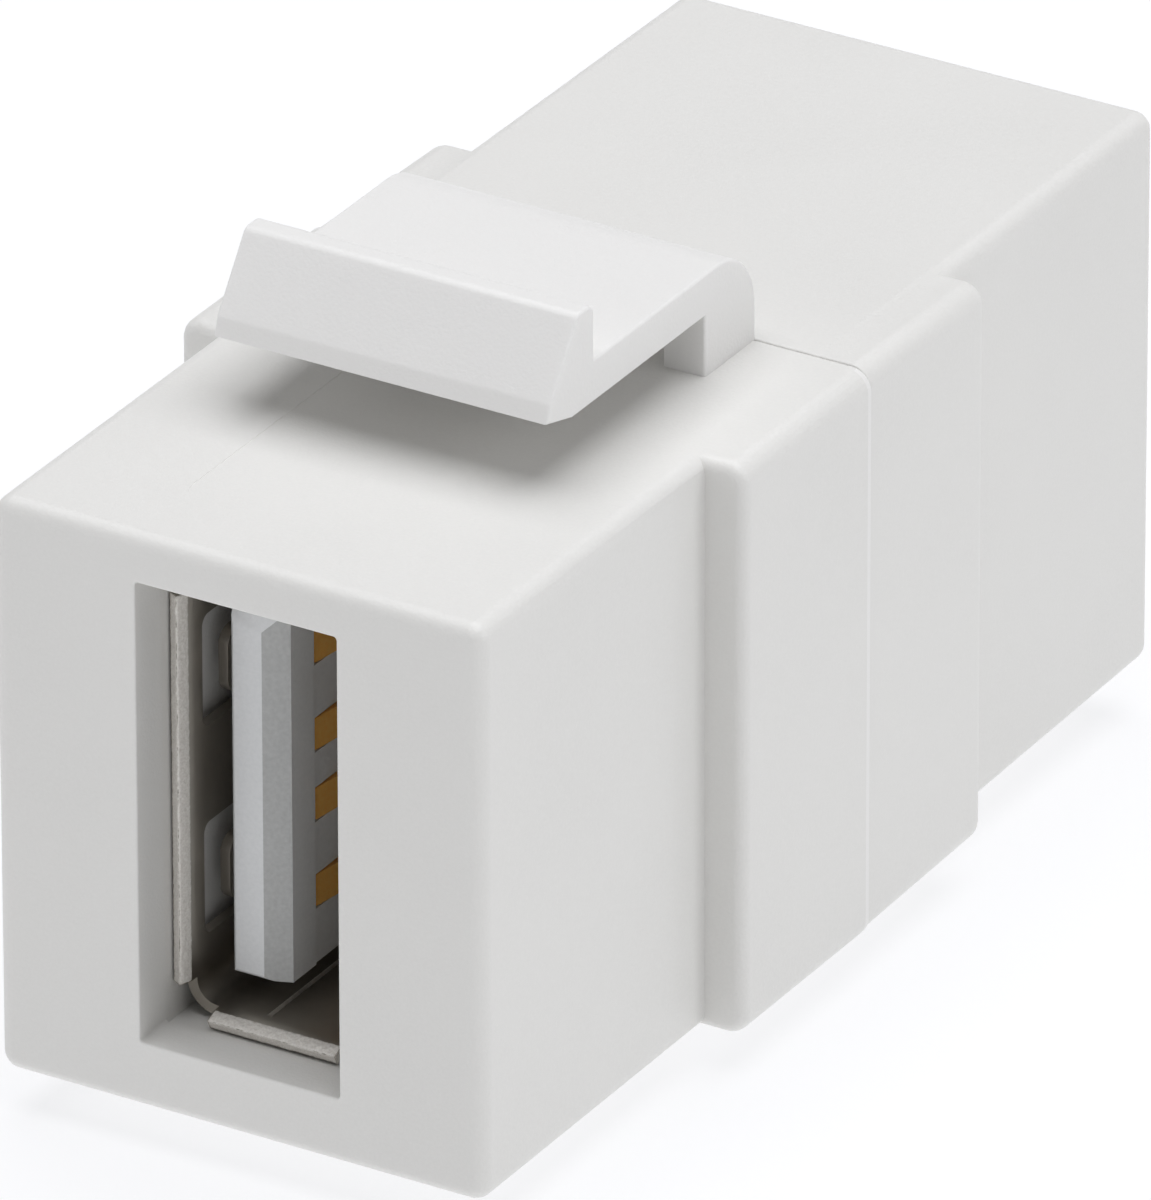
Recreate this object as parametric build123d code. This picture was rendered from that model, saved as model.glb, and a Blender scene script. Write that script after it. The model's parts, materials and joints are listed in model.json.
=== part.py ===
"""Panel coupler for a keystone opening: a two-part moulded housing with a sprung latch on top,
and a plug port at each end. Each port is a folded steel shell round a moulded tongue with four
contacts, and the two ports are soldered back to back on a small board that stands across the middle.

Everything is in millimetres. The pieces are drawn with the front face at y = 0 and the housing's
flat underside at z = 0, and are moved to the part's own frame as they are written: origin under
the middle of the part, at the height of its lowest point, +Y towards the rear port, +Z up.
"""
from build123d import *
from math import asin, cos, degrees, radians
import os

os.makedirs("parts", exist_ok=True)

# Housing, outside. The parting line lies a little behind the middle.
body_width = 14.5
body_height = 16.46
body_length = 34.4
parting_offset = 0.28
edge_radius = 0.5
end_edge_margin = 0.05
shoulder_overhang = 1.18
shoulder_length = 6.48
shoulder_radius = 0.6
shoulder_edge_radius = 0.35
rear_shoulder_inset = 0.08
rear_shoulder_length = 6.1
rear_shoulder_fall = 0.12
rear_body_draft = 0.07
rear_body_rise = 0.26
parting_edge_radius = 0.15
rear_parting_edge_radius = 0.05

# Seat of the panel on the body's sides: a very shallow step down, just before the shoulders
seat_depth = 0.04
seat_slope = 0.15

# Housing, inside
end_wall = 1.3
side_wall = 1.3
floor_wall = 1.15
partition_wall = 0.9
fit_gap = 0.05
sliding_gap = 0.1

# Snap tongues of the rear housing
tongue_reach = 3.2
tongue_thickness = 1.1
tongue_height = 9.0
snap_height = 0.35
snap_length = 0.9
snap_ramp = 0.45
snap_flat = 0.18
snap_from_tip = 0.5
snap_inset = 1.0

# Port opening in each end wall, and the housing that is left under and over it
aperture_width = 5.95
aperture_below = 1.94
aperture_above = 1.32
aperture_radius = 0.1
mouth_edge_radius = 0.06

# Shallow panel moulded in the top face
panel_width = 6.4
panel_start = 2.1
panel_end_from_parting = 3.98
panel_depth = 0.04
panel_radius = 1.2

# Fixed catch under the housing
catch_height = 1.2
catch_width = 9.9
catch_length = 1.5
catch_top_length = 0.5
panel_gap = 1.6

# Latch
latch_width = 9.88
arm_thickness = 1.2
arm_clearance = 1.73
leg_width = 1.22
leg_depth = 2.55
heel_radius = 1.9
lip_height = 1.6
lip_top = 0.78
lip_reach = 2.33
lip_nose_rise = 0.5
lip_nose_setback = 0.15
lip_under_rise = 0.34
lip_under_run = 1.28
lip_radius = 0.3
lip_nose_radius = 0.3
latch_edge_radius = 0.08
window_radius = 0.4
hinge_gap = 0.03

# Port shell, folded from steel sheet. Its inside lies this far within the port opening.
sheet = 0.3
bend_radius = 0.5
shell_inset_sides = 0.415
shell_inset_ends = 0.35
shell_corner_radius = 0.6
shell_back_gap = 0.15
lip_gap = 0.25
flare_depth = 0.6
flare_radius = 1.3
flap_relief = 0.05
seam_width = 0.14
seam_offset = 0.53
seam_setback = 0.2
slot_start = 1.0
slot_length = 7.0
slot_height = 3.2
slot_radius = 0.3
finger_pitch = 5.96
finger_width = 1.9
finger_tip_flat = 0.9
finger_tip_gap = 0.75
finger_slope = 2.2
finger_root = 0.9
finger_clearance = 0.06
finger_tip_lift = 0.3
tab_width = 1.4
tab_offset = 2.2
window_setback = 1.0
window_length = 1.6
window_height = 2.4

# Moulded insulator: tongue and rear block
tongue_side_gap = 0.7
plug_tongue_thickness = 1.65
tongue_back_gap = 0.66
tongue_setback = 1.25
tongue_nose = 0.95
tongue_nose_slope = 0.28
tongue_back_bevel = 0.1
tongue_bevel = 0.1
tongue_corner_height = 1.1
tongue_corner_length = 0.45
tongue_step = 0.06
insulator_block = 4.8
block_setback = 0.15
groove_depth = 0.5
groove_height = 1.0
groove_lead = 0.05
barb_height = 0.22

# Contacts
contact_outer_pitch = 3.5
contact_inner_pitch = 1.0
contact_width = 0.9
contact_tip_radius = 0.2
contact_thickness = 0.2
contact_sink = 0.1
contact_crown = 0.2
contact_start = 1.45
contact_crown_from_tip = 4.2
contact_rest_length = 0.4
jog_setback = 1.6
jog_length = 1.0
tail_offset = 1.0
tail_width = 0.6
tail_past_board = 0.7

# Circuit board and solder
board_thickness = 1.2
board_gap = 0.35
rest_size = 1.6
rest_length = 1.0
solder_room = 0.4
pin_hole_radius = 0.42
tab_hole_gap = 0.15
solder_height = 0.5
solder_foot_radius = 0.75
solder_top_radius = 0.38
tab_solder_foot_radius = 1.05
tab_solder_top_radius = 0.8

# How far a cut runs past the face that it opens, and how near an edge must lie to be picked
cut_over = 1.0
pick = 0.001

# Worked out from the values above, from front to back
middle = body_length / 2
parting = middle + parting_offset
shoulder_start = parting - shoulder_length
rear_shoulder_end = parting + rear_shoulder_length
shoulder_width = body_width + 2 * shoulder_overhang
rear_shoulder_width = shoulder_width - 2 * rear_shoulder_inset
rear_width = body_width - 2 * rear_body_draft
end_edge_radius = edge_radius - end_edge_margin
chamber_half = body_width / 2 - side_wall
chamber_height = (floor_wall, body_height - floor_wall)
tongue_pocket_half = chamber_half + tongue_thickness + sliding_gap
aperture_height = body_height - aperture_below - aperture_above
port_centre_z = aperture_below + aperture_height / 2
shell_gap_width = aperture_width - 2 * shell_inset_sides
shell_gap_height = aperture_height - 2 * shell_inset_ends
shell_width = shell_gap_width + 2 * sheet
shell_height = shell_gap_height + 2 * sheet
shell_wall = shell_gap_width / 2 + sheet / 2
flare_angle = degrees(asin(flare_depth / flare_radius))
flare_out = flare_radius - (flare_radius - sheet) * cos(radians(flare_angle)) - sheet
pocket_width = shell_width + 2 * (flare_out + fit_gap)
pocket_height = shell_height + 2 * (flare_out + fit_gap)
board_front = middle - board_thickness / 2
board_back = middle + board_thickness / 2
partition_end = board_front - solder_height - solder_room
lip_front = end_wall + lip_gap
tube_start = lip_front + flare_depth
shell_back = partition_end - shell_back_gap
finger_bow = tongue_back_gap - finger_clearance
tongue_width = shell_gap_height - 2 * tongue_side_gap
tongue_back_x = -shell_gap_width / 2 + tongue_back_gap
tongue_face_x = tongue_back_x + plug_tongue_thickness
tongue_front = lip_front + tongue_setback
block_end = shell_back - block_setback
block_start = block_end - insulator_block
window_start = block_start + window_setback
contact_heights = [contact_outer_pitch, contact_inner_pitch, -contact_inner_pitch, -contact_outer_pitch]
catch_back = shoulder_start - panel_gap
arm_under = body_height + arm_clearance
arm_top = arm_under + arm_thickness
hinge = (0, parting - leg_depth, arm_under + arm_thickness / 2)


def block(x, y, z):
    """A box between two limits along each axis."""
    size = Box(x[1] - x[0], y[1] - y[0], z[1] - z[0], align=(Align.MIN, Align.MIN, Align.MIN))
    return Pos(x[0], y[0], z[0]) * size


def section(width, height, radius, y, centre_z):
    """A rounded rectangle that stands across the part at one y, drawn from the front."""
    face = Plane(origin=(0, y, centre_z), x_dir=(1, 0, 0), z_dir=(0, -1, 0))
    return face * RectangleRounded(width, height, radius)


def bar(width, height, radius, y, centre_z):
    """A rounded bar that runs along the part between two values of y."""
    return extrude(section(width, height, radius, y[1], centre_z), amount=y[1] - y[0])


def edges_at(shape, axis, place):
    """The edges of a shape that lie at one place on an axis."""
    return shape.edges().filter_by_position(axis, place - pick, place + pick)


def strip(path, thickness, height):
    """Sheet of one thickness that follows a path in the XY plane, as wide as height along Z."""
    face = trace(FilletPolyline(*path, radius=bend_radius), line_width=thickness)
    return Pos(0, 0, -height / 2) * extrude(face, amount=height, dir=(0, 0, 1))


def both_sides(inner, outer):
    """The limits in x of the two places that lie between two distances from the middle."""
    return [(-outer, -inner), (inner, outer)]


def group(shapes):
    """Separate solids of one kind, kept together under one name."""
    return Compound([solid for shape in shapes for solid in shape.solids()])


def rear_of(shape):
    """The same shape turned half round, for the rear port."""
    return Pos(0, body_length, 0) * Rot(0, 0, 180) * shape


def round_mouth(housing, face_y):
    """Rounds the outer edges of the port opening in an end wall."""
    rim = edges_at(housing, Axis.Y, face_y)
    rim = rim.filter_by_position(Axis.X, -aperture_width / 2 - pick, aperture_width / 2 + pick)
    rim = rim.filter_by_position(Axis.Z, aperture_below - pick, body_height - aperture_above + pick)
    return fillet(rim, mouth_edge_radius)


def seat(side):
    """What the panel seat takes off one side of the body, run out at the fixed catch and the shoulder."""
    outer = body_width / 2
    inner = outer - seat_depth
    profile = Polyline(
        (side * outer, catch_back),
        (side * inner, catch_back + seat_slope),
        (side * inner, shoulder_start - seat_slope),
        (side * outer, shoulder_start),
        close=True,
    )
    return extrude(make_face(profile), amount=body_height, dir=(0, 0, 1))


def port_hollows(open_end):
    """What each housing half leaves open from its end wall inwards: mouth, shell pocket, side chambers."""
    mouth = (-cut_over, end_wall + cut_over)
    hollows = bar(aperture_width, aperture_height, aperture_radius, mouth, port_centre_z)
    hollows += block(
        (-pocket_width / 2, pocket_width / 2),
        (end_wall, open_end),
        (port_centre_z - pocket_height / 2, port_centre_z + pocket_height / 2),
    )
    for x in both_sides(pocket_width / 2 + partition_wall, chamber_half):
        hollows += block(x, (end_wall, partition_end), chamber_height)
    room = block((-chamber_half, chamber_half), (partition_end, open_end), chamber_height)
    rest = (partition_end - rest_length, board_front - fit_gap)
    low, high = chamber_height
    for x in both_sides(chamber_half - board_gap - rest_size, chamber_half):
        room -= block(x, rest, (low, low + rest_size))
        room -= block(x, rest, (high - rest_size, high))
    return hollows + room


def snap_ridge(base_x, gap):
    """A long ridge of triangular section on the outside of a snap tongue, grown by a gap at its ends."""
    tip = parting - tongue_reach + snap_from_tip
    profile = Polyline(
        (base_x, tip),
        (base_x + snap_height, tip + snap_ramp),
        (base_x + snap_height, tip + snap_ramp + snap_flat),
        (base_x, tip + snap_length),
        close=True,
    )
    reach = tongue_height - 2 * (snap_inset - gap)
    return Pos(0, 0, body_height / 2 - reach / 2) * extrude(make_face(profile), amount=reach)


def front_housing():
    """Moulded front half: square body, side shoulders, port mouth, fixed catch, snap recesses."""
    back = parting - parting_edge_radius
    body = bar(body_width, body_height, edge_radius, (0, back), body_height / 2)
    body = fillet(edges_at(body, Axis.Y, 0), end_edge_radius) - seat(-1) - seat(1)
    shoulder = bar(
        shoulder_width, body_height, shoulder_radius, (shoulder_start, parting), body_height / 2
    )
    shoulder = fillet(edges_at(shoulder, Axis.Y, shoulder_start), shoulder_edge_radius)
    shoulder = fillet(edges_at(shoulder, Axis.Y, parting), parting_edge_radius)
    housing = body + shoulder + fixed_catch()
    housing -= port_hollows(parting + cut_over)
    half_height = tongue_height / 2 + sliding_gap
    pocket_start = parting - tongue_reach - sliding_gap
    pocket = block(
        (-tongue_pocket_half, tongue_pocket_half),
        (pocket_start, parting + cut_over),
        (body_height / 2 - half_height, body_height / 2 + half_height),
    )
    rests_kept = block(
        (-chamber_half, chamber_half),
        (pocket_start - cut_over, board_front - fit_gap),
        (0, body_height),
    )
    housing -= pocket - rests_kept
    recess = snap_ridge(tongue_pocket_half - pick, sliding_gap)
    housing -= recess + mirror(recess, about=Plane.YZ) + top_panel()
    return round_mouth(housing, 0)


def fixed_catch():
    """Ridge under the body that hooks behind the lower edge of the panel opening."""
    profile = Polyline(
        (catch_back, floor_wall / 2),
        (catch_back, -catch_height),
        (catch_back - catch_top_length, -catch_height),
        (catch_back - catch_length, 0),
        (catch_back - catch_length, floor_wall / 2),
        close=True,
    )
    return extrude(Plane.YZ * make_face(profile), amount=catch_width / 2, both=True)


def top_panel():
    """Shallow field under the latch, deepest along its left edge and run out to the right."""
    length = parting - panel_end_from_parting - panel_start
    field = Pos(0, panel_start + length / 2, 0) * RectangleRounded(panel_width, length, panel_radius)
    slab = Pos(0, 0, -panel_depth) * extrude(field, amount=cut_over)
    tilt = degrees(asin(panel_depth / panel_width))
    left_edge = Pos(-panel_width / 2, 0, 0)
    turned = left_edge * Rot(0, -tilt, 0) * Pos(panel_width / 2, 0, 0) * slab
    return Pos(0, 0, body_height) * turned


def rear_housing():
    """Moulded rear half: shoulders that match the front, a slightly drafted body, two snap tongues."""
    front = parting + rear_parting_edge_radius
    body = loft(
        [
            section(body_width, body_height, edge_radius, front, body_height / 2),
            section(
                rear_width,
                body_height - rear_body_rise - rear_body_draft,
                edge_radius,
                body_length,
                (body_height + rear_body_rise - rear_body_draft) / 2,
            ),
        ]
    )
    body = fillet(edges_at(body, Axis.Y, body_length), end_edge_radius)
    shoulder = loft(
        [
            section(rear_shoulder_width, body_height, shoulder_radius, parting, body_height / 2),
            section(
                rear_shoulder_width - rear_body_draft,
                body_height - 2 * rear_shoulder_fall,
                shoulder_radius,
                rear_shoulder_end,
                body_height / 2,
            ),
        ]
    )
    shoulder = fillet(edges_at(shoulder, Axis.Y, rear_shoulder_end), end_edge_radius)
    shoulder = fillet(edges_at(shoulder, Axis.Y, parting), rear_parting_edge_radius)
    housing = body + shoulder
    housing -= rear_of(port_hollows(body_length - parting + cut_over))
    tongue_top = chamber_half + tongue_thickness
    heights = (body_height / 2 - tongue_height / 2, body_height / 2 + tongue_height / 2)
    for x in both_sides(chamber_half, tongue_top):
        housing += block(x, (parting - tongue_reach, parting), heights)
    ridge = snap_ridge(tongue_top, 0)
    return round_mouth(housing + ridge + mirror(ridge, about=Plane.YZ), body_length)


def latch():
    """Moulded latch: two legs that stand at the parting line, a flat arm and a ramped lip."""
    foot = body_height + hinge_gap
    leg_front = parting - leg_depth
    nose = catch_back - lip_reach
    top = arm_top + lip_height
    outline = [
        (parting, foot),
        (parting, arm_top),
        (catch_back, arm_top),
        (catch_back, top),
        (catch_back - lip_top, top),
        (nose + lip_nose_setback, arm_under + lip_under_rise + lip_nose_rise),
        (nose, arm_under + lip_under_rise),
        (nose + lip_under_run, arm_under),
        (leg_front, arm_under),
        (leg_front, foot),
    ]
    profile = Plane.YZ * make_face(Polyline(*outline, close=True))
    solid = extrude(profile, amount=latch_width / 2, both=True)
    heel = edges_at(solid, Axis.Y, parting) & edges_at(solid, Axis.Z, arm_top)
    solid = fillet(heel, heel_radius)
    solid = fillet(edges_at(solid, Axis.Z, top).filter_by(Axis.X), lip_radius)
    crease = edges_at(solid, Axis.Y, nose + lip_nose_setback).filter_by(Axis.X)
    solid = fillet(crease, lip_nose_radius)
    behind = Plane(origin=(0, parting + cut_over, body_height), x_dir=(1, 0, 0), z_dir=(0, -1, 0))
    gap_between_legs = RectangleRounded(latch_width - 2 * leg_width, 2 * arm_clearance, window_radius)
    solid -= extrude(behind * gap_between_legs, amount=leg_depth + cut_over)
    sides = solid.faces().filter_by(Axis.X).sort_by(Axis.X)
    rims = sides[0].edges() + sides[-1].edges()
    return fillet(rims - edges_at(solid, Axis.Z, foot), latch_edge_radius)


def flap(half_gap, length):
    """One flared lip of the shell's mouth, standing out along +X."""
    centre = (half_gap + flare_radius, tube_start)
    inner = CenterArc(centre, flare_radius, 180, flare_angle)
    outer = CenterArc(centre, flare_radius - sheet, 180, flare_angle)
    face = make_face([inner, outer, Line(inner @ 0, outer @ 0), Line(inner @ 1, outer @ 1)])
    return Pos(0, 0, -length / 2) * extrude(face, amount=length, dir=(0, 0, 1))


def finger():
    """One spring finger, cut from the right wall and bowed into the plug's way, with a rounded tip."""
    root = lip_front + slot_start + slot_length
    tip = lip_front + slot_start + finger_tip_gap
    path = [
        (shell_wall, root + sheet),
        (shell_wall, root - finger_root),
        (shell_wall - finger_bow, tip + finger_slope),
        (shell_wall - finger_tip_lift, tip),
    ]
    tip_radius = (finger_width - finger_tip_flat) / 2
    length = root - tip + finger_width
    plan = Plane.YZ * Pos(tip + length / 2, 0) * RectangleRounded(length, finger_width, tip_radius)
    return strip(path, sheet, slot_height) & extrude(plan, amount=shell_width)


def port_shell():
    """Folded steel shell of one port: tube, flared mouth, spring fingers, solder tabs."""
    tube = (tube_start, shell_back)
    hollow = (tube_start - cut_over, shell_back + cut_over)
    shell = bar(shell_width, shell_height, shell_corner_radius + sheet, tube, port_centre_z)
    shell -= bar(shell_gap_width, shell_gap_height, shell_corner_radius, hollow, port_centre_z)
    at_port = Pos(0, 0, port_centre_z)
    flap_ends = 2 * (shell_corner_radius + flap_relief)
    for turn in (0, 180):
        shell += at_port * Rot(0, turn, 0) * flap(shell_gap_width / 2, shell_gap_height - flap_ends)
    for turn in (-90, 90):
        shell += at_port * Rot(0, turn, 0) * flap(shell_gap_height / 2, shell_gap_width - flap_ends)
    slot_centre = lip_front + slot_start + slot_length / 2
    slot = Plane.YZ * Pos(slot_centre, 0) * RectangleRounded(slot_length, slot_height, slot_radius)
    slot = extrude(slot, amount=shell_width, both=True)
    shell -= at_port * block(
        (-shell_width, shell_width),
        (window_start, window_start + window_length),
        (-window_height / 2, window_height / 2),
    )
    for side in (-1, 1):
        at_finger = Pos(0, 0, port_centre_z + side * finger_pitch / 2)
        shell -= at_finger * slot
        shell += at_finger * finger()
        shell += at_finger * mirror(finger(), about=Plane.YZ)
        shell += tab(side)
    return shell - block(
        (-seam_offset - seam_width / 2, -seam_offset + seam_width / 2),
        (tube_start + seam_setback, shell_back + cut_over),
        (port_centre_z - shell_height, port_centre_z),
    )


def tab(side, grow=0.0):
    """Solder tab at the shell's back edge: on the right wall below the middle, on the left above it."""
    half = sheet / 2 + grow
    height = port_centre_z - side * tab_offset
    return block(
        (side * shell_wall - half, side * shell_wall + half),
        (shell_back - sheet, board_back + tail_past_board),
        (height - tab_width / 2 - grow, height + tab_width / 2 + grow),
    )


def contact_path():
    """Middle line of a contact: tip, crown, back into its groove, jog, straight tail."""
    rest = tongue_face_x - contact_sink - contact_thickness / 2
    crown = tongue_face_x + contact_crown + contact_thickness
    tip = tongue_front + contact_start
    jog = block_start + jog_setback
    return [
        (rest, tip),
        (crown, tip + contact_crown_from_tip),
        (rest, block_start - contact_rest_length),
        (rest, jog),
        (tail_offset, jog + jog_length),
        (tail_offset, board_back + tail_past_board),
    ]


def contact(height):
    """One contact, cut and bent from strip, with a narrower tail for the board."""
    blade = strip(contact_path(), contact_thickness, contact_width)
    across = blade.edges().filter_by(lambda edge: edge.length < contact_thickness + pick)
    blade = fillet(across.sort_by(Axis.Y)[:2], contact_tip_radius)
    for z in both_sides(tail_width / 2, contact_width):
        blade -= block((-shell_width, shell_width), (block_end, body_length), z)
    return Pos(0, 0, port_centre_z + height) * blade


def insulator():
    """Moulded tongue and block of one port, with a groove and a passage for each contact."""
    root = block_start + fit_gap
    groove_start = tongue_front + contact_start - groove_lead
    nose = Polyline(
        (tongue_back_x, root),
        (tongue_back_x, tongue_front + tongue_back_bevel),
        (tongue_back_x + tongue_back_bevel, tongue_front),
        (tongue_back_x + tongue_nose, tongue_front),
        (tongue_face_x, tongue_front + tongue_nose_slope),
        (tongue_face_x, groove_start),
        (tongue_face_x - tongue_step, groove_start),
        (tongue_face_x - tongue_step, root),
        close=True,
    )
    blade = Pos(0, 0, -tongue_width / 2) * extrude(make_face(nose), amount=tongue_width, dir=(0, 0, 1))
    front_edges = edges_at(blade, Axis.Y, tongue_front).filter_by(Axis.X)
    blade = chamfer(front_edges.sort_by(Axis.Z)[0], tongue_bevel)
    corner = Polyline(
        (tongue_front, tongue_width / 2 - tongue_corner_height),
        (tongue_front, tongue_width / 2),
        (tongue_front + tongue_corner_length, tongue_width / 2),
        close=True,
    )
    blade -= extrude(Plane.YZ * make_face(corner), amount=shell_width, both=True)
    solid = blade + bar(
        shell_gap_width - 2 * fit_gap,
        shell_gap_height - 2 * fit_gap,
        shell_corner_radius,
        (block_start, block_end),
        0,
    )
    solid += block(
        (-shell_gap_width / 2 - barb_height, shell_gap_width / 2 + barb_height),
        (window_start + fit_gap, window_start + window_length - fit_gap),
        (-window_height / 2 + fit_gap, window_height / 2 - fit_gap),
    )
    way = strip(contact_path(), contact_thickness + 2 * fit_gap, contact_width + 2 * fit_gap)
    for height in contact_heights:
        solid -= block(
            (tongue_face_x - groove_depth, tongue_face_x + cut_over),
            (groove_start, block_start),
            (height - groove_height / 2, height + groove_height / 2),
        )
        solid -= Pos(0, 0, height) * way
    return Pos(0, 0, port_centre_z) * solid


def circuit_board():
    """Board that stands across the part, drilled for both rows of tails and slotted for the tabs."""
    low, high = chamber_height
    board = block(
        (-chamber_half + board_gap, chamber_half - board_gap),
        (board_front, board_back),
        (low + board_gap, high - board_gap),
    )
    drill = Plane(origin=(0, board_back + cut_over, port_centre_z), x_dir=(1, 0, 0), z_dir=(0, -1, 0))
    for height in contact_heights:
        for x in (-tail_offset, tail_offset):
            hole = drill * Pos(x, height) * Circle(pin_hole_radius)
            board -= extrude(hole, amount=board_thickness + 2 * cut_over)
    for side in (-1, 1):
        board -= tab(side, tab_hole_gap)
        board -= rear_of(tab(side, tab_hole_gap))
    return board


def cone_of_solder(x, z, foot, top):
    """A cone of solder on the board's rear face."""
    cone = Cone(foot, top, solder_height, align=(Align.CENTER, Align.CENTER, Align.MIN))
    return Pos(x, board_back, z) * Rot(-90, 0, 0) * cone


def pin_solder():
    """Solder round the four tails of the front port, on the board's rear face."""
    joints = []
    for height in contact_heights:
        z = port_centre_z + height
        cone = cone_of_solder(tail_offset, z, solder_foot_radius, solder_top_radius)
        joints.append(cone - contact(height))
    return group(joints)


def tab_solder():
    """Solder round the two tabs of each shell, on the face where they come out of the board."""
    joints = []
    for side in (-1, 1):
        z = port_centre_z - side * tab_offset
        cone = cone_of_solder(side * shell_wall, z, tab_solder_foot_radius, tab_solder_top_radius)
        joint = cone - tab(side)
        joints += [joint, rear_of(joint)]
    return group(joints)


def pieces():
    """Every piece by name, in the drawing frame."""
    made = {
        "front_housing": front_housing(),
        "rear_housing": rear_housing(),
        "latch": latch(),
        "circuit_board": circuit_board(),
        "tab_solder": tab_solder(),
    }
    ported = {
        "port_shell": port_shell(),
        "insulator": insulator(),
        "pin_solder": pin_solder(),
    }
    for number, height in enumerate(contact_heights, start=1):
        ported[f"contact_{number}"] = contact(height)
    for name, shape in ported.items():
        made[f"front_{name}"] = shape
        made[f"rear_{name}"] = rear_of(shape)
    return made


to_part_frame = Pos(0, -middle, catch_height)
for name, shape in pieces().items():
    export_step(to_part_frame * shape, f"parts/{name}.step")
    print(name, "volume", round(shape.volume, 2), "mm3")
print("latch hinge, in the part's frame", [round(v, 3) for v in (to_part_frame * Pos(*hinge)).position])
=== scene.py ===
# %% [markdown]
# The imported model is the fixed frame of this file. It holds every moulding, folded sheet and contact at
# its real size and place, so nothing is moved or resized here. What follows adds what a model made for
# fit and motion lacks: smooth mouldings, the torn edge of punched steel, a latch sliced along its arm,
# and the surface that each material gets from the way it was made.

# %% Load the frame
import json
import math

import bmesh
import bpy
from mathutils import Matrix, Vector

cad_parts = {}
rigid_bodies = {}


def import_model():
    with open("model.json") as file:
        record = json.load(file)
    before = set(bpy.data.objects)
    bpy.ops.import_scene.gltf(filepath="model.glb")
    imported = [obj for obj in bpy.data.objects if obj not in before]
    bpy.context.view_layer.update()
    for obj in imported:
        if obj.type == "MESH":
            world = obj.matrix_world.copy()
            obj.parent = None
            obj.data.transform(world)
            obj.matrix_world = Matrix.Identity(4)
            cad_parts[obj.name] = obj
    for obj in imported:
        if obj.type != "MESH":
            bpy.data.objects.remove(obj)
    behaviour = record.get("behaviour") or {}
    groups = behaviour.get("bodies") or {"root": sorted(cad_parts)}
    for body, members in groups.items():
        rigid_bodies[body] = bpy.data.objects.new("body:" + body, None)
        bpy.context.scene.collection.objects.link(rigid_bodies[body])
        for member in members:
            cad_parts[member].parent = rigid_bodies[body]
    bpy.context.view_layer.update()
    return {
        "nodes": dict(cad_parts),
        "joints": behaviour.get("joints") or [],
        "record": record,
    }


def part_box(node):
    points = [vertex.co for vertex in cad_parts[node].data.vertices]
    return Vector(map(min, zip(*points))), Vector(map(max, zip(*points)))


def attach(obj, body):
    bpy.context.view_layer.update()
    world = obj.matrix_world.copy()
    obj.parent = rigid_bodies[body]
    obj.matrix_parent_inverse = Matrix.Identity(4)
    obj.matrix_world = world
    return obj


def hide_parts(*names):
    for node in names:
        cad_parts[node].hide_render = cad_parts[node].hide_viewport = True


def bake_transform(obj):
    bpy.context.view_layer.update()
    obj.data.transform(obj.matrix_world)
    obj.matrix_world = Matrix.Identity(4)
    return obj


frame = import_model()

# %% [markdown]
# Everything is in metres, and the part is under 40 mm long, so sizes are written in millimetres and
# multiplied by one value. Colours are written as the hex values that a picture editor shows. A shader
# wants linear light, so one function turns them.

# %% Units and colours
MM = 0.001


def linear(hex_value):
    """A hex colour as the linear values that a shader works with."""
    channels = [int(hex_value[i:i + 2], 16) / 255 for i in (1, 3, 5)]
    bent = [c / 12.92 if c <= 0.04045 else ((c + 0.055) / 1.055) ** 2.4 for c in channels]
    return (*bent, 1.0)


print("white at 90 percent is", [round(c, 3) for c in linear("#F3F3F3")])

# %% [markdown]
# A node tree is a set of nodes and the links between their sockets. One small function adds a node,
# sets its own properties, fills or links its inputs by name, and hands the node back.

# %% A helper that adds a node


def add(tree, kind, inputs=None, **settings):
    """Adds a node. An input's value is a number, a colour, or the output socket that feeds it."""
    node = tree.nodes.new(kind)
    for key, value in settings.items():
        setattr(node, key, value)
    for key, value in (inputs or {}).items():
        if isinstance(value, bpy.types.NodeSocket):
            tree.links.new(value, node.inputs[key])
        else:
            node.inputs[key].default_value = value
    return node


def start_material(name, **values):
    """A new material with one Principled shader, and its constants set on the shader's own sockets."""
    material = bpy.data.materials.new(name)
    material.use_nodes = True
    shader = material.node_tree.nodes["Principled BSDF"]
    for key, value in values.items():
        shader.inputs[key.replace("_", " ")].default_value = value
    return material, material.node_tree, shader


# %% [markdown]
# ## White housings and latch
# The mouldings are ABS, injection moulded in a spark-eroded tool. ABS has an IOR of about 1.54. The
# eroded tool leaves a fine satin grain, so highlights spread softly and no edge mirrors the room. The
# grain is about 0.05 mm across on the real part. It is drawn at 0.09 mm here, or it would fall between
# the picture's pixels. The pigment is a very slightly warm white. Light that bounces once hardly shows
# it, but in the folds and inside the ports light bounces many times, and each bounce warms it more. A
# second, lighter copy of the white is painted light: the latch wears it all over, and a hair-wide strip
# beside the parting line wears it as a painted highlight.

# %% Moulded white ABS
GRAIN = 0.09 * MM
FLOW = 6.0 * MM
RELIEF = 0.02 * MM


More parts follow.
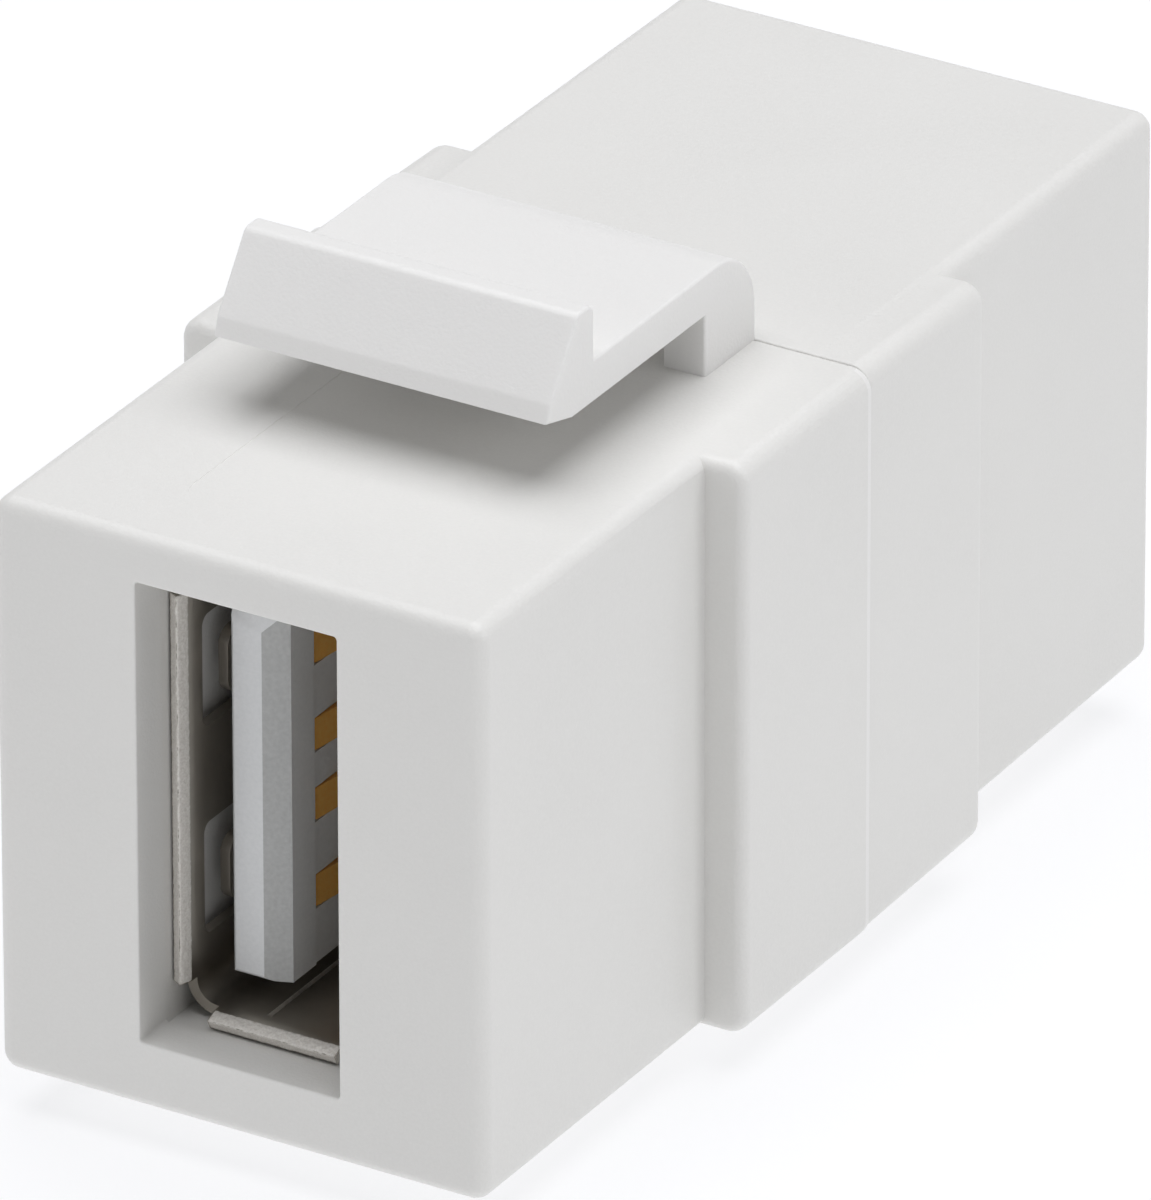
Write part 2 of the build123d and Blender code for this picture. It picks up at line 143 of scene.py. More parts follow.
def moulded_abs(name, light, dark):
    """ABS in a spark-eroded tool: satin, with a fine even grain and hardly any change of tone."""
    material, tree, shader = start_material(
        name,
        Roughness=0.45,
        IOR=1.54,
        Subsurface_Weight=0.2,
        Subsurface_Scale=0.35 * MM,
        Subsurface_Radius=(1.0, 1.0, 1.0),
    )
    place = add(tree, "ShaderNodeTexCoord").outputs["Object"]
    grain = add(tree, "ShaderNodeTexNoise", {"Vector": place, "Scale": 1 / GRAIN, "Detail": 2.0})
    flow = add(tree, "ShaderNodeTexNoise", {"Vector": place, "Scale": 1 / FLOW, "Detail": 3.0})
    blend = add(
        tree,
        "ShaderNodeMath",
        {0: grain.outputs["Fac"], 1: flow.outputs["Fac"]},
        operation="MULTIPLY",
    )
    tone = add(tree, "ShaderNodeMix", {"Factor": blend.outputs["Value"]}, data_type="RGBA")
    tone.inputs["A"].default_value = linear(light)
    tone.inputs["B"].default_value = linear(dark)
    bump = add(
        tree,
        "ShaderNodeBump",
        {"Height": grain.outputs["Fac"], "Strength": 0.5, "Distance": RELIEF},
    )
    tree.links.new(tone.outputs["Result"], shader.inputs["Base Color"])
    tree.links.new(bump.outputs["Normal"], shader.inputs["Normal"])
    return material


abs_white = moulded_abs("ABS_white_spark_eroded", "#E8E7E4", "#DEDDDA")
# The lighter copy is painted light, for the latch and for the parting line's painted highlight.
abs_painted_light = moulded_abs("ABS_white_painted_lighter", "#EEEDEB", "#E9E8E6")
print(abs_white.name, "grain", round(GRAIN / MM, 3), "mm")

# %% [markdown]
# ## Steel shells
# Each port's shell is cold-rolled steel strip, tin plated and then folded. Rolling leaves faint lines
# along the strip, which runs round the port, so the plating is smooth one way and slightly streaked the
# other. The blanks are punched after plating, so every cut edge is bare torn steel: brighter, matt and
# coarse, with grains of about 0.1 mm. The flaring of the lips cracks the tin along them as well.

# %% Tin-plated strip and its torn edge
ROLL_LINE = 0.12 * MM
ROLL_RELIEF = 0.01 * MM
STREAK = 12.0
CLOUD = 1.5 * MM
TEAR = 0.11 * MM


def plated_strip():
    """Tin over rolled steel: a grey metal, half gloss, streaked along the strip."""
    material, tree, shader = start_material("steel_strip_tin_plated", Metallic=1.0, Roughness=0.38)
    place = add(tree, "ShaderNodeTexCoord").outputs["Object"]
    stretch = add(tree, "ShaderNodeMapping", {"Vector": place, "Scale": (1.0, STREAK, 1.0)})
    lines = add(
        tree,
        "ShaderNodeTexNoise",
        {"Vector": stretch.outputs["Vector"], "Scale": 0.1 / ROLL_LINE, "Detail": 4.0},
    )
    cloud = add(tree, "ShaderNodeTexNoise", {"Vector": place, "Scale": 1 / CLOUD, "Detail": 3.0})
    tone = add(tree, "ShaderNodeMix", {"Factor": cloud.outputs["Fac"]}, data_type="RGBA")
    tone.inputs["A"].default_value = linear("#AAA49B")
    tone.inputs["B"].default_value = linear("#C4BEB4")
    gloss = add(
        tree,
        "ShaderNodeMapRange",
        {"Value": lines.outputs["Fac"], "To Min": 0.32, "To Max": 0.48},
    )
    bump = add(
        tree,
        "ShaderNodeBump",
        {"Height": lines.outputs["Fac"], "Strength": 0.15, "Distance": ROLL_RELIEF},
    )
    tree.links.new(tone.outputs["Result"], shader.inputs["Base Color"])
    tree.links.new(gloss.outputs["Result"], shader.inputs["Roughness"])
    tree.links.new(bump.outputs["Normal"], shader.inputs["Normal"])
    return material


def torn_steel():
    """Bare steel where the punch tore it: bright, matt, with light and dark grains."""
    material, tree, shader = start_material("steel_torn_by_punch", Metallic=0.35, Roughness=0.55)
    place = add(tree, "ShaderNodeTexCoord").outputs["Object"]
    grains = add(tree, "ShaderNodeTexVoronoi", {"Vector": place, "Scale": 1 / TEAR})
    fine = add(tree, "ShaderNodeTexNoise", {"Vector": place, "Scale": 2 / TEAR, "Detail": 3.0})
    mixed = add(tree, "ShaderNodeMix", {"Factor": fine.outputs["Fac"]}, data_type="RGBA")
    mixed.inputs["A"].default_value = linear("#D2CCC4")
    mixed.inputs["B"].default_value = linear("#FFFDF8")
    bump = add(
        tree,
        "ShaderNodeBump",
        {"Height": grains.outputs["Distance"], "Strength": 0.5, "Distance": RELIEF},
    )
    tree.links.new(mixed.outputs["Result"], shader.inputs["Base Color"])
    tree.links.new(bump.outputs["Normal"], shader.inputs["Normal"])
    return material


plated = plated_strip()
torn = torn_steel()
print(plated.name, "and", torn.name)

# %% [markdown]
# ## Insulators, contacts, board and solder
# The tongue and its block are glass-filled PBT in light grey. The glass makes it stiff enough to hold
# the contacts, and leaves a dry, slightly mottled surface, less glossy than the housing. The contacts
# are bronze strip with a thin flash of gold. The board is glass cloth in epoxy, with the cloth's weave
# just visible, and the solder on it froze with a smooth, bright skin.

# %% Grey PBT, gold flash, glass epoxy, solder
MOTTLE = 0.12 * MM
GOLD_GRAIN = 0.1 * MM
WEAVE = 0.5 * MM
SOLDER_WAVE = 0.4 * MM
SOLDER_RELIEF = 0.05 * MM


def filled_pbt(name, dark, light, roughness):
    """Glass-filled PBT: light grey, dry, mottled between two tones."""
    material, tree, shader = start_material(name, Roughness=roughness, IOR=1.57)
    place = add(tree, "ShaderNodeTexCoord").outputs["Object"]
    mottle = add(tree, "ShaderNodeTexNoise", {"Vector": place, "Scale": 1 / MOTTLE, "Detail": 3.0})
    tone = add(tree, "ShaderNodeMix", {"Factor": mottle.outputs["Fac"]}, data_type="RGBA")
    tone.inputs["A"].default_value = linear(dark)
    tone.inputs["B"].default_value = linear(light)
    bump = add(
        tree,
        "ShaderNodeBump",
        {"Height": mottle.outputs["Fac"], "Strength": 0.2, "Distance": RELIEF},
    )
    tree.links.new(tone.outputs["Result"], shader.inputs["Base Color"])
    tree.links.new(bump.outputs["Normal"], shader.inputs["Normal"])
    return material


def gold_flash():
    """Gold over bronze strip: a deep yellow metal, satin from the rolling."""
    material, tree, shader = start_material("bronze_strip_gold_flash", Metallic=0.35, Roughness=0.5)
    place = add(tree, "ShaderNodeTexCoord").outputs["Object"]
    grain = add(tree, "ShaderNodeTexNoise", {"Vector": place, "Scale": 1 / GOLD_GRAIN, "Detail": 3.0})
    tone = add(tree, "ShaderNodeMix", {"Factor": grain.outputs["Fac"]}, data_type="RGBA")
    tone.inputs["A"].default_value = linear("#FFB750")
    tone.inputs["B"].default_value = linear("#FFD07A")
    gloss = add(
        tree,
        "ShaderNodeMapRange",
        {"Value": grain.outputs["Fac"], "To Min": 0.5, "To Max": 0.7},
    )
    tree.links.new(tone.outputs["Result"], shader.inputs["Base Color"])
    tree.links.new(gloss.outputs["Result"], shader.inputs["Roughness"])
    return material


def glass_epoxy():
    """Bare laminate: glass cloth seen through green resin."""
    material, tree, shader = start_material("glass_epoxy_laminate", Roughness=0.35, IOR=1.55)
    place = add(tree, "ShaderNodeTexCoord").outputs["Object"]
    warp = add(tree, "ShaderNodeTexWave", {"Vector": place, "Scale": 0.3 / WEAVE}, bands_direction="X")
    weft = add(tree, "ShaderNodeTexWave", {"Vector": place, "Scale": 0.3 / WEAVE}, bands_direction="Z")
    cloth = add(
        tree,
        "ShaderNodeMath",
        {0: warp.outputs["Fac"], 1: weft.outputs["Fac"]},
        operation="MULTIPLY",
    )
    tone = add(tree, "ShaderNodeMix", {"Factor": cloth.outputs["Value"]}, data_type="RGBA")
    tone.inputs["A"].default_value = linear("#4E6B3A")
    tone.inputs["B"].default_value = linear("#6F8A52")
    tree.links.new(tone.outputs["Result"], shader.inputs["Base Color"])
    return material


def frozen_solder():
    """Tin alloy solder: bright, with slight waves where it froze."""
    material, tree, shader = start_material("solder_frozen_bright", Metallic=1.0, Roughness=0.22)
    place = add(tree, "ShaderNodeTexCoord").outputs["Object"]
    waves = add(tree, "ShaderNodeTexNoise", {"Vector": place, "Scale": 1 / SOLDER_WAVE, "Detail": 2.0})
    tone = add(tree, "ShaderNodeMix", {"Factor": waves.outputs["Fac"]}, data_type="RGBA")
    tone.inputs["A"].default_value = linear("#C4C6C8")
    tone.inputs["B"].default_value = linear("#DADBDC")
    bump = add(
        tree,
        "ShaderNodeBump",
        {"Height": waves.outputs["Fac"], "Strength": 0.3, "Distance": SOLDER_RELIEF},
    )
    tree.links.new(tone.outputs["Result"], shader.inputs["Base Color"])
    tree.links.new(bump.outputs["Normal"], shader.inputs["Normal"])
    return material


pbt = filled_pbt("PBT_grey_glass_filled", "#DCDEDF", "#ECEDEE", 0.35)
# The darker copy is painted shade for the tongue's bevel, with a rougher finish.
pbt_painted_shade = filled_pbt("PBT_grey_bevel_painted_shade", "#A9AAA9", "#C6C7C6", 0.6)
gilt = gold_flash()
laminate = glass_epoxy()
solder = frozen_solder()
print("materials", len(bpy.data.materials))

# %% [markdown]
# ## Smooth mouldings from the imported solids
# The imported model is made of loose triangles, so each one would shade as a flat facet. A rounded edge
# could be rebuilt here, but the solid already has it to a hundredth of a millimetre. It is enough to
# copy the mesh, weld its corners and smooth it. Two kinds of edge stay sharp: a steep one, and a shallow
# one between two flat faces, such as the bevel of a tongue. A flat is a level region above 3 square
# millimetres, because the long facets of a rounding are smaller than that. A weighted normal then lets
# the large flats win over the narrow roundings, so that the flats stay flat to the eye.

# %% Copies with welded corners
WELD = 0.0005 * MM
STEEP = math.radians(32)
SHALLOW = math.radians(0.4)
LEVEL = math.radians(0.05)
FLAT_AREA = 3.0 * MM * MM


def welded(node):
    """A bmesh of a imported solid, with its loose triangles joined at their corners."""
    mesh = bmesh.new()
    mesh.from_mesh(frame["nodes"][node].data)
    for layer in list(mesh.loops.layers.uv):
        mesh.loops.layers.uv.remove(layer)
    bmesh.ops.remove_doubles(mesh, verts=mesh.verts, dist=WELD)
    return mesh


def flat_regions(mesh):
    """The number of the flat region that each face lies in, for regions that are large enough."""
    region = {}
    for number, start in enumerate(mesh.faces):
        if start.index in region:
            continue
        patch, waiting = {start.index: start}, [start]
        while waiting:
            for edge in waiting.pop().edges:
                for face in edge.link_faces:
                    if face.index not in patch and face.index not in region:
                        if face.normal.angle(start.normal, math.pi) < LEVEL:
                            patch[face.index] = face
                            waiting.append(face)
        large = sum(face.calc_area() for face in patch.values()) > FLAT_AREA
        region.update(dict.fromkeys(patch, number if large else None))
    return region


def mark_sharp(mesh):
    """Smooths all faces, and keeps the steep edges and the edges between flats sharp."""
    mesh.faces.index_update()
    mesh.normal_update()
    region = flat_regions(mesh)
    for face in mesh.faces:
        face.smooth = True
    for edge in mesh.edges:
        angle = edge.calc_face_angle(math.pi)
        sides = {region[face.index] for face in edge.link_faces}
        between_flats = len(sides) == 2 and None not in sides and angle > SHALLOW
        edge.smooth = not (angle > STEEP or between_flats)


def object_from(mesh, name, *materials):
    """A linked object at the origin, made from a bmesh, with its materials in order."""
    data = bpy.data.meshes.new(name)
    mesh.to_mesh(data)
    mesh.free()
    piece = bpy.data.objects.new(name, data)
    bpy.context.scene.collection.objects.link(piece)
    for material in materials:
        data.materials.append(material)
    return piece


def baked(piece):
    """Applies an object's modifiers by swapping in its evaluated mesh."""
    graph = bpy.context.evaluated_depsgraph_get()
    data = bpy.data.meshes.new_from_object(piece.evaluated_get(graph))
    piece.modifiers.clear()
    piece.data = data
    return piece


def weigh_normals(piece):
    """Normals that favour the large faces."""
    weighted = piece.modifiers.new("weighted", "WEIGHTED_NORMAL")
    weighted.keep_sharp = True
    weighted.weight = 50
    return baked(piece)


def dressed(node, slot, *materials, paint=None):
    """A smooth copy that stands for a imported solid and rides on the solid's own body."""
    mesh = welded(node)
    mark_sharp(mesh)
    if paint:
        paint(mesh)
    piece = weigh_normals(object_from(mesh, node + "_surface", *materials))
    body = next(name for name, members in frame["record"]["behaviour"]["bodies"].items() if node in members)
    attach(piece, body)
    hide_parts(node)
    return piece


# %% [markdown]
# The panel in the top face is only a few hundredths of a millimetre deep. A step that low has no crisp
# edge on a real moulding, so most of it is filled here and only a breath of it is left. The two housings
# meet in a parting line halfway along the shoulders. On both sides of the front housing a hair-wide
# strip beside it wears the lighter white, a painted highlight along the parting edge, so it shows as a
# fine lighter line.

# %% Both housings
PANEL_HALF = 3.25 * MM
PANEL_FROM_FRONT = 2.0 * MM
LOW_STEP = 0.05 * MM
STEP_LEFT = 0.012 * MM
PARTING_HIGHLIGHT_WIDTH = 0.26 * MM
BODY_SIDE = 7.5 * MM
FACES_A_SIDE = 0.3


def fill_low_step(mesh, low, high):
    """Raises the panel's floor until only a breath of its step is left."""
    for vert in mesh.verts:
        on_panel = abs(vert.co.x) < PANEL_HALF and vert.co.y > low.y + PANEL_FROM_FRONT
        if on_panel and STEP_LEFT < high.z - vert.co.z < LOW_STEP:
            vert.co.z = high.z - STEP_LEFT


def paint_parting_highlight(mesh, high):
    """Paints a highlight: the lighter second material on a hair's width of both sides at the parting line.
    """
    highlight_start = high.y - PARTING_HIGHLIGHT_WIDTH
    everything = mesh.verts[:] + mesh.edges[:] + mesh.faces[:]
    bmesh.ops.bisect_plane(mesh, geom=everything, plane_co=(0, highlight_start, 0), plane_no=(0, 1, 0))
    for face in mesh.faces:
        place = face.calc_center_median()
        beside_parting = place.y > highlight_start and abs(place.x) > BODY_SIDE
        face.material_index = int(beside_parting and abs(face.normal.x) > FACES_A_SIDE)


def finish_front(mesh):
    """What the front housing gets besides its smooth surface."""
    low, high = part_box("front_housing")
    fill_low_step(mesh, low, high)
    paint_parting_highlight(mesh, high)


for node, paint in (("front_housing", finish_front), ("rear_housing", None)):
    shape = dressed(node, "white_abs", abs_white, abs_painted_light, paint=paint)
    print(shape.name, "faces", len(shape.data.polygons))

# %% [markdown]
# ## The latch
# On the real part the latch and the front housing are one moulding, and the arm bends where it leaves
# its two legs. The frame has it as a body on a sprung hinge there. The copy here is cut into thin slices
# along the arm, from the back of the lip to the hinge. The feet are let a little way into the housing,
# which hides the hinge's running gap.

# %% Sliced latch
joint = frame["joints"][0]
hinge = Vector(joint["pos_m"])
LIP_LENGTH = 2.33 * MM
FOOT_SINK = 0.06 * MM
SLICES = 24


def bending_latch():
    """The latch, sliced along the arm, with its feet let into the housing."""
    low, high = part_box("latch")
    mesh = welded("latch")
    for vert in mesh.verts:
        if vert.co.z < low.z + WELD:
            vert.co.z -= FOOT_SINK
    lip_back = low.y + LIP_LENGTH
    for i in range(1, SLICES):
        y = lip_back + (hinge.y - lip_back) * i / SLICES
        everything = mesh.verts[:] + mesh.edges[:] + mesh.faces[:]
        bmesh.ops.bisect_plane(mesh, geom=everything, plane_co=(0, y, 0), plane_no=(0, 1, 0))
    mark_sharp(mesh)
    # The whole latch wears the lighter white: painted light.
    piece = weigh_normals(object_from(mesh, "latch_surface", abs_painted_light))
    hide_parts("latch")
    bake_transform(piece)
    return piece


arm = bending_latch()
print("latch faces", len(arm.data.polygons), "hinge at", [round(v / MM, 2) for v in hinge])

# %% [markdown]
# ## Port shells with torn lips
# The four flared lips of each port end in a cut edge as thick as the sheet, and the punch leaves it
# torn. A bump map alone would leave a ruler-straight edge, so a Geometry Nodes tree lays a fine grid over
# each lip, from the outside of the cut round to the inside of the flare, and pushes it in and out by
# noise. One tree serves all of them: two lips, opposite each other, from named sizes. The grid's rim is
# sunk into the metal, so that no open border shows.
#
# The tree works in the port's own axes. X points to a lip, Y into the port, and Y is zero where the
# flare starts. A grid's X is the way round the lip's profile, and its Y the way along the lip.

# %% A tree for torn lips
SHEET = 0.3 * MM
FLARE_RADIUS = 1.3 * MM
FLARE_DEPTH = 0.6 * MM
CORNER = 0.65 * MM
CRACKED = 0.42 * MM
TEAR_DEPTH = 0.06 * MM
CELLS_PER_GRAIN = 3.0
PIT_SHARE = 0.3
RIM_SUNK = 0.5
flare_angle = math.asin(FLARE_DEPTH / FLARE_RADIUS)


def torn_lip_tree():
    """Two torn lips, one on each side of the port's axis."""
    tree = bpy.data.node_groups.new("torn_lips", "GeometryNodeTree")
    lip_sizes = ("Length", "Sheet", "Cracked", "Half Gap", "Flare Radius", "Flare Angle")
    tear_sizes = ("Grain", "Depth", "Seed")
    for name in lip_sizes + tear_sizes:
        tree.interface.new_socket(name, in_out="INPUT", socket_type="NodeSocketFloat")
    tree.interface.new_socket("Material", in_out="INPUT", socket_type="NodeSocketMaterial")
    tree.interface.new_socket("Geometry", in_out="OUTPUT", socket_type="NodeSocketGeometry")
    given = add(tree, "NodeGroupInput").outputs

    def maths(operation, a, b=0.0):
        return add(tree, "ShaderNodeMath", {0: a, 1: b}, operation=operation).outputs[0]

    step = maths("DIVIDE", given["Grain"], CELLS_PER_GRAIN)
    round_lip = maths("ADD", given["Sheet"], given["Cracked"])
    grid = add(
        tree,
        "GeometryNodeMeshGrid",
        {
            "Size X": round_lip,
            "Size Y": given["Length"],
            "Vertices X": maths("DIVIDE", round_lip, step),
            "Vertices Y": maths("DIVIDE", given["Length"], step),
        },
    )
    spot = add(tree, "ShaderNodeSeparateXYZ", {"Vector": add(tree, "GeometryNodeInputPosition").outputs[0]})
    along = spot.outputs["Y"]
    gone = maths("ADD", spot.outputs["X"], maths("MULTIPLY", round_lip, 0.5))
    left = maths("SUBTRACT", round_lip, gone)
    to_end = maths("SUBTRACT", maths("MULTIPLY", given["Length"], 0.5), maths("ABSOLUTE", along))
    inland = maths("MINIMUM", maths("MINIMUM", gone, left), to_end)
    rise = add(tree, "ShaderNodeClamp", {"Value": maths("DIVIDE", inland, step)}).outputs[0]
    kept = add(tree, "GeometryNodeCaptureAttribute", {"Geometry": grid.outputs["Mesh"]})
    kept.capture_items.new("FLOAT", "rise")
    tree.links.new(rise, kept.inputs["rise"])

    inner = maths("SUBTRACT", given["Flare Radius"], given["Sheet"])
    radius = maths("MINIMUM", maths("ADD", inner, gone), given["Flare Radius"])
    past_cut = maths("MAXIMUM", maths("SUBTRACT", gone, given["Sheet"]), 0.0)
    turned = maths("SUBTRACT", given["Flare Angle"], maths("DIVIDE", past_cut, given["Flare Radius"]))
    centre_x = maths("ADD", given["Half Gap"], given["Flare Radius"])
    profile = add(
        tree,
        "ShaderNodeCombineXYZ",
        {
            "X": maths("SUBTRACT", centre_x, maths("MULTIPLY", radius, maths("COSINE", turned))),
            "Y": maths("MULTIPLY", maths("MULTIPLY", radius, maths("SINE", turned)), -1.0),
            "Z": maths("MULTIPLY", along, -1.0),
        },
    )
    wrapped = add(
        tree,
        "GeometryNodeSetPosition",
        {"Geometry": kept.outputs["Geometry"], "Position": profile.outputs[0]},
    )
    pair = add(tree, "GeometryNodeMeshLine", {"Count": 2, "Offset": (0.0, 0.0, 0.0)})
    half_turn = add(
        tree,
        "ShaderNodeCombineXYZ",
        {"Y": maths("MULTIPLY", add(tree, "GeometryNodeInputIndex").outputs[0], math.pi)},
    )
    both = add(
        tree,
        "GeometryNodeInstanceOnPoints",
        {
            "Points": pair.outputs["Mesh"],
            "Instance": wrapped.outputs["Geometry"],
            "Rotation": half_turn.outputs[0],
        },
    )
    real = add(tree, "GeometryNodeRealizeInstances", {"Geometry": both.outputs["Instances"]})
    coarse = add(
        tree,
        "ShaderNodeTexNoise",
        {"W": given["Seed"], "Scale": maths("DIVIDE", 1.0, given["Grain"]), "Detail": 2.0},
        noise_dimensions="4D",
    )
    height = maths("MULTIPLY", maths("SUBTRACT", coarse.outputs["Fac"], PIT_SHARE), given["Depth"])
    sunk = maths("MULTIPLY", given["Depth"], -RIM_SUNK)
    lift = add(
        tree,
        "ShaderNodeMix",
        {"Factor": kept.outputs["rise"], "A": sunk, "B": height},
    )
    push = add(
        tree,
        "ShaderNodeVectorMath",
        {0: add(tree, "GeometryNodeInputNormal").outputs[0], "Scale": lift.outputs[0]},
        operation="SCALE",
    )
    torn_face = add(
        tree,
        "GeometryNodeSetPosition",
        {"Geometry": real.outputs["Geometry"], "Offset": push.outputs[0]},
    )
    soft = add(tree, "GeometryNodeSetShadeSmooth", {"Geometry": torn_face.outputs["Geometry"]})
    done = add(
        tree,
        "GeometryNodeSetMaterial",
        {"Geometry": soft.outputs["Geometry"], "Material": given["Material"]},
    )
    add(tree, "NodeGroupOutput", {"Geometry": done.outputs["Geometry"]})
    return tree


def run_tree(tree, values, name):
    """Runs a tree on an empty mesh with its inputs set by identifier, and gives back the mesh."""
    holder = bpy.data.objects.new(name, bpy.data.meshes.new(name))
    bpy.context.scene.collection.objects.link(holder)
    modifier = holder.modifiers.new("nodes", "NODES")
    modifier.node_group = tree
    for item in tree.interface.items_tree:
        if item.in_out == "INPUT":
            modifier[item.identifier] = values[item.name]
    data = baked(holder).data
    bpy.data.objects.remove(holder)
    return data


torn_lips = torn_lip_tree()
print("tree", torn_lips.name, "nodes", len(torn_lips.nodes))

# %% [markdown]
# The tree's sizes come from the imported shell's box: half of what lies between two lips, and how long
# each lip is between the tube's rounded corners. The rear shell is the front one turned half round. The
# folded blank's two ends meet in a seam in one narrow wall, and those sheared ends wear the torn steel
# too. They are the faces there that look sideways, well inside the tube's corners.

# %% Dress both shells
LOOKS_SIDEWAYS = 0.8


def wear_torn_seam(mesh, centre, across, up):
    """Gives the second material to the two sheared ends of the blank, where they meet."""
    for face in mesh.faces:
        place = face.calc_center_median() - centre
        in_narrow_wall = abs(place.z) > up - SHEET and abs(place.x) < across - CORNER
        if in_narrow_wall and abs(face.normal.x) > LOOKS_SIDEWAYS:
            face.material_index = 1


def dressed_shell(node, rear):
    """A smooth shell with torn edges and lips, as one mesh."""
    low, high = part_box(node)
    centre = (low + high) / 2
    out = FLARE_RADIUS - (FLARE_RADIUS - SHEET) * math.cos(flare_angle)
    across = (high.x - low.x) / 2 - out
    up = (high.z - low.z) / 2 - out
    start = high.y - FLARE_DEPTH if rear else low.y + FLARE_DEPTH
    mesh = welded(node)
    mark_sharp(mesh)
    wear_torn_seam(mesh, centre, across, up)
    for quarter, half_gap, length in ((0.0, across, up - CORNER), (math.pi / 2, up, across - CORNER)):
        values = {
            "Length": 2 * length,
            "Sheet": SHEET,
            "Cracked": CRACKED,
            "Half Gap": half_gap,
            "Flare Radius": FLARE_RADIUS,
            "Flare Angle": flare_angle,
            "Grain": TEAR,
            "Depth": TEAR_DEPTH,
            "Seed": quarter,
            "Material": torn,
        }
        lips = run_tree(torn_lips, values, "lips")
        turn = Matrix.Rotation(math.pi if rear else 0.0, 4, "Z") @ Matrix.Rotation(quarter, 4, "Y")
        lips.transform(Matrix.Translation((centre.x, start, centre.z)) @ turn)
        before = len(mesh.faces)
        mesh.from_mesh(lips)
        mesh.faces.ensure_lookup_table()
        for face in mesh.faces[before:]:
            face.material_index = 1
            face.smooth = True
    piece = weigh_normals(object_from(mesh, node + "_surface", plated, torn))
    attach(piece, joint["parent"])
    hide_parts(node)
    return piece


for node, rear in (("front_port_shell", False), ("rear_port_shell", True)):
    shell = dressed_shell(node, rear)
    print(shell.name, "faces", len(shell.data.polygons))

# %% [markdown]
# ## The pieces inside
# The insulators and contacts show in the mouths of the ports, so they get smooth copies too. The nose of
# each tongue is smooth, and the bevel beside it, over which the plug slides, is rougher and wears a
# darker grey copy of the PBT, which is painted shade on the bevel that turns away from the nose. The
# board and its solder are shut in the middle of the housing. Their imported solids stay as they are and
# only get their materials.

# %% Insulators, contacts, board
BEVEL_TURN = (math.radians(12), math.radians(35))


def paint_bevel_shade(mesh):
    """Paints shade: gives the darker second material to the faces that turn a little sideways from the
    nose.
    """
    nearly, well = (math.sin(angle) for angle in BEVEL_TURN)
    for face in mesh.faces:
        upright = abs(face.normal.z) < nearly
        face.material_index = int(upright and nearly < abs(face.normal.x) < well)


for end in ("front", "rear"):
    dressed(f"{end}_insulator", "grey_pbt", pbt, pbt_painted_shade, paint=paint_bevel_shade)
    for number in range(1, 5):
        dressed(f"{end}_contact_{number}", "gilt_bronze", gilt)

shut_in = {
    "circuit_board": laminate,
    "front_pin_solder": solder,
    "rear_pin_solder": solder,
    "tab_solder": solder,
}
for node, material in shut_in.items():
    data = frame["nodes"][node].data
    data.materials.clear()
    data.materials.append(material)
    print(node, "wears", material.name)

# %% [markdown]
# ## Floor, light and camera
# The part stands on a table of milky sheet that is lit from below, as small white goods are pictured.
# That keeps the ground white and the shadows on it faint. A large soft light hangs above. Two smaller
# ones stand at the front left and at the right, so that the faces between them, which look at the
# camera, are the darker ones. The light is very slightly cool, which makes the warm white look neutral.

# %% Studio
FLOOR_SIZE = 4.0
LIGHT_DISTANCE = 1.0
DAYLIGHT = (0.975, 0.98, 1.0)
AIM = Vector((0.0, 0.0, 0.01))


def pale_floor():
    """A near-white lit table under the part."""
    material, tree, shader = start_material(
        "milky_sheet_lit",
        Base_Color=linear("#8C8C8C"),
        Roughness=0.8,
        Emission_Color=(*DAYLIGHT, 1.0),
        Emission_Strength=0.74,
    )
    mesh = bmesh.new()
    bmesh.ops.create_grid(mesh, x_segments=1, y_segments=1, size=FLOOR_SIZE / 2)
    floor = object_from(mesh, "floor", material)
    return floor


def soft_light(name, azimuth, elevation, size, power):
    """A square soft light, placed by the angles at which the part sees it."""
    lamp = bpy.data.lights.new(name, "AREA")
    lamp.shape = "SQUARE"
    lamp.size = size
    lamp.energy = power
    lamp.color = DAYLIGHT
    turn = math.radians(azimuth)
    rise = math.radians(elevation)
    way = Vector((math.sin(turn) * math.cos(rise), -math.cos(turn) * math.cos(rise), math.sin(rise)))
    thing = bpy.data.objects.new(name, lamp)
    bpy.context.scene.collection.objects.link(thing)
    facing = way.to_track_quat("Z", "Y").to_matrix().to_4x4()
    thing.matrix_world = Matrix.Translation(AIM + LIGHT_DISTANCE * way) @ facing
    return thing


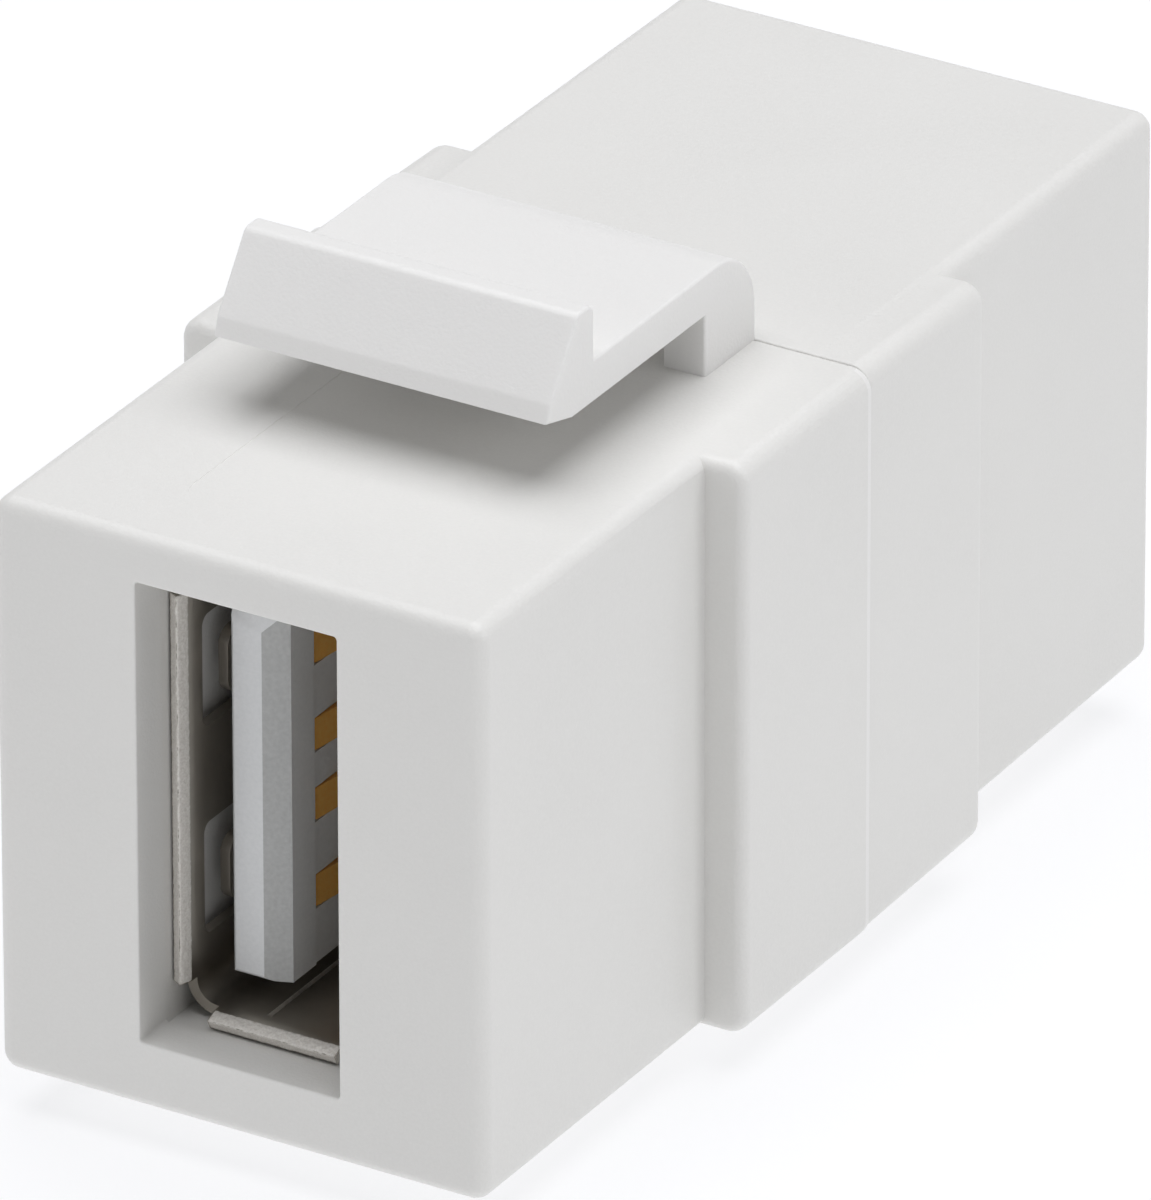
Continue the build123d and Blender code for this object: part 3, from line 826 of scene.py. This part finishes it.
def tent(strength):
    """An even white surround."""
    world = bpy.data.worlds.new("tent")
    bpy.context.scene.world = world
    world.use_nodes = True
    shade = world.node_tree.nodes["Background"]
    shade.inputs["Color"].default_value = (*DAYLIGHT, 1.0)
    shade.inputs["Strength"].default_value = strength


pale_floor()
tent(strength=0.18)
soft_light("top_light", azimuth=180, elevation=86, size=1.1, power=11.0)
soft_light("front_left_light", azimuth=-20, elevation=8, size=0.5, power=1.2)
soft_light("right_light", azimuth=100, elevation=20, size=0.55, power=1.8)
bpy.context.scene.view_settings.view_transform = "Standard"

# %% [markdown]
# The camera looks from the front right and above, from far off with a long lens, so that parallel edges
# hardly meet. Its angles and distance were worked out from the edges of the part in the picture. The
# picture is 1200 pixels high, and the lens's length in pixels becomes millimetres on a 36 mm sensor.

# %% Camera
AZIMUTH = math.radians(30.803)
ELEVATION = math.radians(27.445)
ROLL = math.radians(-0.099)
CAMERA_PLACE = (263.617 * MM, -442.633 * MM, 276.501 * MM)
LENS_PIXELS = 22429.24
PICTURE_HEIGHT = 1200
SENSOR = 36.0
CLIP = (0.01, 10.0)


def set_camera():
    """Places the camera by the angles and the place that the fit gave."""
    back = Vector(
        (
            math.sin(AZIMUTH) * math.cos(ELEVATION),
            -math.cos(AZIMUTH) * math.cos(ELEVATION),
            math.sin(ELEVATION),
        )
    )
    right = Vector((math.cos(AZIMUTH), math.sin(AZIMUTH), 0.0))
    up = back.cross(right)
    turn = Matrix((right, up, back)).transposed() @ Matrix.Rotation(ROLL, 3, "Z")
    lens = bpy.data.cameras.new("camera")
    lens.lens = LENS_PIXELS * SENSOR / PICTURE_HEIGHT
    lens.sensor_width = SENSOR
    lens.clip_start, lens.clip_end = CLIP
    camera = bpy.data.objects.new("camera", lens)
    camera.matrix_world = Matrix.Translation(CAMERA_PLACE) @ turn.to_4x4()
    bpy.context.scene.collection.objects.link(camera)
    bpy.context.scene.camera = camera
    return camera


camera = set_camera()
print("camera at", [round(v / MM, 1) for v in camera.location], "lens", round(camera.data.lens, 1), "mm")
